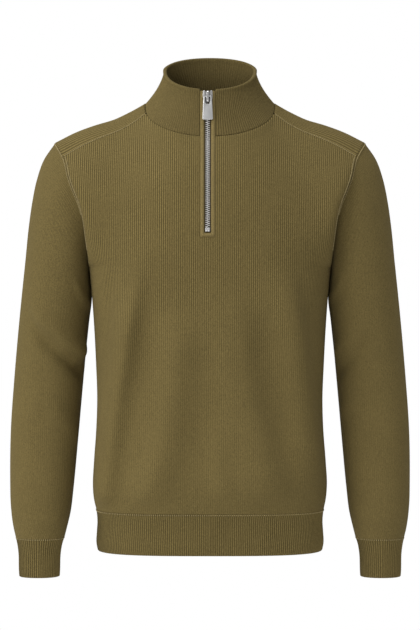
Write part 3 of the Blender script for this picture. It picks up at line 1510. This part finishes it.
def knit_material(name, colour, ribs, fade=None):
    """Ribs of looped stitches that follow the piece's own map, with fuzz and a heathered dye.

    ribs is how much darker a groove is. Where fade is given, it is the heights between which the
    ribs come in.
    """
    look = Look(name)
    on_knit = look.add("ShaderNodeUVMap", {}, uv_map=KNIT_MAP)
    spot = look.add("ShaderNodeSeparateXYZ", {0: on_knit}).node.outputs
    place_in = look.add("ShaderNodeTexCoord", {}, output="Object")
    across = look.maths("MULTIPLY", spot["X"], 1 / (WALE * MM))
    down = look.maths("MULTIPLY", spot["Y"], 1 / (COURSE * MM))
    crown = look.maths("MULTIPLY", look.maths("PINGPONG", across, 0.5), 2.0)
    slanted = look.maths("MULTIPLY_ADD", crown, 0.6, down)
    yarn = look.maths("MULTIPLY", look.maths("PINGPONG", slanted, 0.5), 2.0)
    loops = look.maths("MULTIPLY_ADD", yarn, 0.4, 0.6)
    loops = look.maths("MULTIPLY", look.maths("POWER", crown, 0.7), loops)
    turn = look.maths("MULTIPLY", spot["X"], 2 * math.pi / (RIB_PITCH * MM))
    rib = look.maths("COSINE", turn)
    patch = look.noise(place_in, RIB_PATCH_SCALE, 2.0)
    strength = look.maths("MULTIPLY_ADD", patch, 1.6 * ribs, 0.2 * ribs)
    if fade is not None:
        height = look.add("ShaderNodeSeparateXYZ", {0: place_in}).node.outputs["Z"]
        limits = {"From Min": fade[0] * MM, "From Max": fade[1] * MM, "To Min": RIB_FAINT}
        faded = look.add("ShaderNodeMapRange", {"Value": height, **limits})
        strength = look.maths("MULTIPLY", strength, faded)
    rib_shade = look.maths("MULTIPLY_ADD", rib, strength, 1.0)
    fuzz = look.noise(place_in, FUZZ_SCALE, 3.0)
    heather = look.noise(place_in, HEATHER_SCALE, 3.0, (1.0, 1.0, 0.6))
    cloud = look.noise(place_in, CLOUD_SCALE, 2.0)
    shade = look.maths("MULTIPLY_ADD", loops, 0.24, 0.86)
    for noise, amount in ((heather, 1.15), (fuzz, 0.4), (cloud, 0.16)):
        shade = look.maths("MULTIPLY", shade, look.maths("MULTIPLY_ADD", noise, amount, 1 - amount / 2))
    shade = look.maths("MULTIPLY", shade, rib_shade)
    height = look.maths("MULTIPLY_ADD", fuzz, 0.35, loops)
    height = look.maths("MULTIPLY_ADD", rib, 0.6, height)
    bump = look.add("ShaderNodeBump", {"Strength": 0.7, "Distance": 0.3 * MM, "Height": height})
    look.set(Base_Color=look.tinted(colour, shade), Normal=bump)
    look.set(Roughness=0.95, Specular_IOR_Level=0.1, Sheen_Weight=0.08, Sheen_Roughness=0.5)
    look.set(Sheen_Tint=(0.8, 0.68, 0.36, 1.0))
    return look.material


def tape_material(name, colour):
    """Woven twill: fine slanting ridges."""
    look = Look(name)
    spot = look.add("ShaderNodeSeparateXYZ", {0: look.add("ShaderNodeUVMap", {}, uv_map=KNIT_MAP)}).node
    slant = look.maths("ADD", spot.outputs["X"], spot.outputs["Y"])
    twill = look.maths("PINGPONG", look.maths("MULTIPLY", slant, 1 / (0.9 * MM)), 0.5)
    shade = look.maths("MULTIPLY_ADD", twill, 0.7, 0.7)
    bump = look.add("ShaderNodeBump", {"Strength": 0.7, "Distance": 0.15 * MM, "Height": twill})
    look.set(Base_Color=look.tinted(colour, shade), Normal=bump, Roughness=0.85)
    return look.material


def metal_material(name, colour, roughness, scuff, grime):
    """Plated metal with faint polishing lines and smears, and darker in its corners by grime."""
    look = Look(name)
    place_in = look.add("ShaderNodeTexCoord", {}, output="Object")
    lines = look.noise(place_in, 1500.0, 2.0, (1.0, 1.0, 0.08))
    smears = look.noise(place_in, 160.0, 3.0)
    rough = look.maths("MULTIPLY_ADD", smears, scuff, roughness - scuff / 2)
    rough = look.maths("MULTIPLY_ADD", lines, scuff * 0.6, rough)
    shade = look.maths("MULTIPLY_ADD", smears, 0.12, 0.94)
    corners = look.add("ShaderNodeAmbientOcclusion", {"Distance": 4.5 * MM}, output="AO", samples=8)
    worn = look.maths("MULTIPLY_ADD", look.maths("POWER", corners, 2.5), grime, 1 - grime)
    shade = look.maths("MULTIPLY", shade, worn)
    bump = look.add("ShaderNodeBump", {"Strength": 0.15, "Distance": 0.02 * MM, "Height": lines})
    look.set(Base_Color=look.tinted(colour, shade), Roughness=rough, Normal=bump, Metallic=1.0)
    return look.material


def plain_material(name, colour):
    look = Look(name)
    spot = look.add("ShaderNodeTexCoord", {}, output="Object")
    shade = look.maths("MULTIPLY_ADD", look.noise(spot, 2.0), 0.01, 0.995)
    look.set(Base_Color=look.tinted(colour, shade), Roughness=0.9, Specular_IOR_Level=0.1)
    return look.material


def glow_material(name, colour, ambient):
    """A white backdrop all round, which lights the scene less than it shows."""
    world = bpy.data.worlds.new(name)
    world.use_nodes = True
    tree = world.node_tree
    background = tree.nodes["Background"]
    background.inputs["Color"].default_value = (*colour, 1.0)
    seen = tree.nodes.new("ShaderNodeLightPath")
    strength = tree.nodes.new("ShaderNodeMapRange")
    strength.inputs["To Min"].default_value = ambient
    strength.inputs["To Max"].default_value = 1.0
    tree.links.new(seen.outputs["Is Camera Ray"], strength.inputs["Value"])
    tree.links.new(strength.outputs["Result"], background.inputs["Strength"])
    return world


def area_light(name, spot, energy):
    """A square soft light that points at the garment's middle."""
    data = bpy.data.lights.new(name, "AREA")
    data.size, data.energy = LIGHT_SIZE, energy
    light = bpy.data.objects.new(name, data)
    light.location = spot
    aim = Vector((0.0, 0.0, GARMENT_MIDDLE)) - light.location
    light.rotation_euler = aim.to_track_quat("-Z", "Y").to_euler()
    bpy.context.scene.collection.objects.link(light)


@cache
def finish_of(slot):
    """The material of one of the part's finishes, or of the yarn along its seams."""
    colours = bpy.context.scene.sweater_colours
    makers = {
        "body_knit": lambda: knit_material("Body knit", colours.knit, 0.42, (-420, -240)),
        "sleeve_knit": lambda: knit_material("Sleeve knit", colours.knit, 0.2, (-300, -120)),
        "rib_knit": lambda: knit_material("Band knit", colours.band, 0.4),
        "collar_knit": lambda: knit_material("Collar knit", colours.collar, 0.26),
        "trim_knit": lambda: knit_material("Trim knit", colours.trim, 0.12),
        "seam_yarn": lambda: knit_material("Seam yarn", colours.seam, 0.05),
        "zip_tape": lambda: tape_material("Woven tape", colours.tape),
        "zip_metal": lambda: metal_material("Plated metal", colours.teeth, 0.34, 0.12, 0.25),
        "cast_metal": lambda: metal_material("Cast metal", colours.cast, 0.26, 0.1, 0.93),
        "tab_metal": lambda: metal_material("Polished metal", colours.steel, 0.3, 0.1, 0.88),
    }
    return makers[slot]()


# ---------------------------------------------------------------- operators


class SWEATER_OT_zip_trim(bpy.types.Operator):
    """Lay the two woven tapes behind the slot and the knit trim round it"""

    bl_idname = "sweater.zip_trim"
    bl_label = "Zip Trim and Tapes"

    def execute(self, context):
        zip_trim("Zip_Trim", finish_of("trim_knit"))
        tape = finish_of("zip_tape")
        zip_tape("Zip_Tape_Left", -1, "zip_tape_left", tape)
        zip_tape("Zip_Tape_Right", 1, "zip_tape_right", tape)
        return {"FINISHED"}


class SWEATER_OT_body(bpy.types.Operator):
    """Knit the front, with its slot for the zip, and the back"""

    bl_idname = "sweater.body"
    bl_label = "Front and Back"

    def execute(self, context):
        knit, material = context.scene.sweater_knit, finish_of("body_knit")
        front = body_panel("Front", -1, knit, material)
        cloth_piece(front, "body_knit", "front")
        cloth_piece(body_panel("Back", 1, knit, material), "body_knit", "back")
        return {"FINISHED"}


class SWEATER_OT_strips(bpy.types.Operator):
    """Knit the strips over the shoulders, whose ribs run from the neck to the armhole"""

    bl_idname = "sweater.strips"
    bl_label = "Shoulder Strips"

    def execute(self, context):
        knit, material = context.scene.sweater_knit, finish_of("body_knit")
        for hand, name in ((-1, "Left"), (1, "Right")):
            made = shoulder_strip(f"Shoulder_Strip_{name}", hand, knit, material)
            cloth_piece(made, "body_knit", f"shoulder_strip_{name.lower()}")
        return {"FINISHED"}


class SWEATER_OT_sleeves(bpy.types.Operator):
    """Knit the set-in sleeves"""

    bl_idname = "sweater.sleeves"
    bl_label = "Sleeves"

    def execute(self, context):
        knit, material = context.scene.sweater_knit, finish_of("sleeve_knit")
        for hand, name in ((-1, "Left"), (1, "Right")):
            made = sleeve(f"Sleeve_{name}", hand, knit, material)
            cloth_piece(made, "sleeve_knit", f"sleeve_{name.lower()}")
        return {"FINISHED"}


class SWEATER_OT_bands(bpy.types.Operator):
    """Knit the ribbed hem band and cuffs"""

    bl_idname = "sweater.bands"
    bl_label = "Hem Band and Cuffs"

    def execute(self, context):
        knit, material = context.scene.sweater_knit, finish_of("rib_knit")
        hem = (HEM_SEAM + SEAM_TUCK, HEM_EDGE)
        made = ribbed_band("Hem_Band", torso_ring, hem, BAND_WALL, HEM_ROWS, knit, material)
        cloth_piece(made, "rib_knit", "hem_band")
        cuff = (CUFF_SEAM, CUFF_EDGE)
        for hand, name in ((-1, "Left"), (1, "Right")):
            ring_at = partial(cuff_ring, hand=hand)
            made = ribbed_band(
                f"Cuff_{name}", ring_at, cuff, BAND_WALL, CUFF_ROWS, knit, material
            )
            cloth_piece(made, "rib_knit", f"cuff_{name.lower()}")
        return {"FINISHED"}


class SWEATER_OT_collar(bpy.types.Operator):
    """Knit the double stand collar, rolled at its top edge"""

    bl_idname = "sweater.collar"
    bl_label = "Collar"

    def execute(self, context):
        knit, material = context.scene.sweater_knit, finish_of("collar_knit")
        made = ribbed_band(
            "Collar",
            open_collar,
            (0.0, 1.0),
            COLLAR_WALL,
            COLLAR_ROWS,
            knit,
            material,
            closed=False,
            bulge=COLLAR_ROLL,
        )
        cloth_piece(made, "collar_knit", "collar")
        return {"FINISHED"}


class SWEATER_OT_stitches(bpy.types.Operator):
    """Sew the rows of stitches that show along the seams"""

    bl_idname = "sweater.stitches"
    bl_label = "Seam Stitches"

    def execute(self, context):
        knit = context.scene.sweater_knit
        length, width = knit.stitch_length / MM, knit.stitch_width / MM
        loop = (length * LOOP_LENGTH, length, width)
        cord = (length * CORD[0], width * CORD[1], width * CORD[2])
        hem, cuffs, heads, foot = (bmesh.new() for _ in range(4))
        rows = ring_rows(torso_ring, HEM_SEAM - STITCH_DROP, 1.0)
        add_stitches(hem, seam_line(rows, -1, RIB_PITCH), loop, lift=HEM_LIFT)
        for hand in (-1, 1):
            rows = ring_rows(partial(cuff_ring, hand=hand), CUFF_SEAM - STITCH_DROP, 1.0)
            add_stitches(cuffs, seam_line(rows, -1, RIB_PITCH), loop)
            for first, last in HEAD_TURNS:
                line = seam_line(armhole_rows(hand, HEAD_STITCH, first, last), hand, STITCH_PITCH)
                add_stitches(heads, line, cord, lift=HEAD_LIFT)
            for side in (-1, 1):
                line = seam_line(panel_edge_rows(side, hand), side * hand, STITCH_PITCH)
                add_stitches(heads, line, cord, lift=HEAD_LIFT)
                line = seam_line(strip_rows(hand, (side + 1) / 2), hand, STITCH_PITCH)
                add_stitches(heads, line, cord, lift=STRIP_LIFT)
        offsets = np.linspace(-TRIM_MIDDLE, TRIM_MIDDLE, 30)
        low = TRIM_FOOT + TRIM_FOOT_WIDTH / 2
        rows = [zip_place(offsets, low + step, TRIM_CROWN - 0.1) for step in (0.5, 0.0, -0.5)]
        add_stitches(foot, seam_line(rows, -1, STITCH_PITCH), (length, width, width))
        stitch_piece("Hem_Stitches", hem, finish_of("seam_yarn"), "rib_knit")
        stitch_piece("Cuff_Stitches", cuffs, finish_of("seam_yarn"), "rib_knit")
        stitch_piece("Shoulder_Stitches", heads, finish_of("seam_yarn"), "trim_knit")
        stitch_piece("Trim_Stitches", foot, finish_of("trim_knit"), "trim_knit")
        return {"FINISHED"}


class SWEATER_OT_teeth(bpy.types.Operator):
    """Set the two rows of teeth and the bottom stop on the tapes"""

    bl_idname = "sweater.teeth"
    bl_label = "Teeth and Stop"

    def execute(self, context):
        zip_teeth("Zip_Teeth", finish_of("zip_metal"))
        zip_stop("Zip_Stop", finish_of("cast_metal"))
        return {"FINISHED"}


class SWEATER_OT_slider(bpy.types.Operator):
    """Cast the slider, and hang the pull tab from its arch"""

    bl_idname = "sweater.slider"
    bl_label = "Slider and Pull Tab"

    def execute(self, context):
        slider("Zip_Slider", finish_of("cast_metal"))
        pull_tab("Pull_Tab", finish_of("tab_metal"))
        return {"FINISHED"}


class SWEATER_OT_stage(bpy.types.Operator):
    """Set up the floor, the soft lights and the camera"""

    bl_idname = "sweater.stage"
    bl_label = "Stage"

    def execute(self, context):
        stage, colours = context.scene.sweater_stage, context.scene.sweater_colours
        bm = bmesh.new()
        bmesh.ops.create_circle(bm, cap_ends=True, radius=FLOOR_RADIUS, segments=128)
        bmesh.ops.translate(bm, verts=bm.verts[:], vec=(0, 0, stage.floor_height))
        floor = new_object("Floor", bm, plain_material("Pale floor", colours.floor))
        for name, spot, energy in LIGHTS:
            area_light(name, spot, energy)
        context.scene.world = glow_material("White studio", (1.0, 1.0, 1.0), stage.ambient)
        data = bpy.data.cameras.new("Camera")
        data.sensor_fit = "VERTICAL"
        data.lens = data.sensor_height * stage.camera_distance / stage.view_height
        camera = bpy.data.objects.new("Camera", data)
        camera.location = (0, -stage.camera_distance, stage.camera_height)
        camera.rotation_euler = (math.pi / 2, 0, 0)
        context.scene.collection.objects.link(camera)
        context.scene.camera = camera
        context.scene.view_settings.view_transform = "Standard"
        return {"FINISHED"}


class SWEATER_PT_panel(bpy.types.Panel):
    """The sweater's pieces, in the order that they are made"""

    bl_label = "Quarter Zip Sweater"
    bl_idname = "SWEATER_PT_panel"
    bl_space_type = "VIEW_3D"
    bl_region_type = "UI"
    bl_category = "Sweater"

    def draw(self, context):
        scene = context.scene
        for group in (scene.sweater_knit, scene.sweater_colours, scene.sweater_stage):
            box = self.layout.box()
            for key in group.__annotations__:
                box.prop(group, key)
        column = self.layout.column()
        for operator in OPERATORS:
            column.operator(operator.bl_idname)


SETTINGS = (SweaterKnit, SweaterColours, SweaterStage)
OPERATORS = (
    SWEATER_OT_stage,
    SWEATER_OT_zip_trim,
    SWEATER_OT_body,
    SWEATER_OT_strips,
    SWEATER_OT_sleeves,
    SWEATER_OT_bands,
    SWEATER_OT_collar,
    SWEATER_OT_stitches,
    SWEATER_OT_teeth,
    SWEATER_OT_slider,
)
CLASSES = (*SETTINGS, *OPERATORS, SWEATER_PT_panel)


def register():
    for cls in CLASSES:
        bpy.utils.register_class(cls)
    bpy.types.Scene.sweater_knit = PointerProperty(type=SweaterKnit)
    bpy.types.Scene.sweater_colours = PointerProperty(type=SweaterColours)
    bpy.types.Scene.sweater_stage = PointerProperty(type=SweaterStage)


def unregister():
    del bpy.types.Scene.sweater_stage
    del bpy.types.Scene.sweater_colours
    del bpy.types.Scene.sweater_knit
    for cls in reversed(CLASSES):
        bpy.utils.unregister_class(cls)


def main():
    register()
    for operator in OPERATORS:
        group, _, name = operator.bl_idname.partition(".")
        getattr(getattr(bpy.ops, group), name)()


if __name__ == "__main__":
    main()
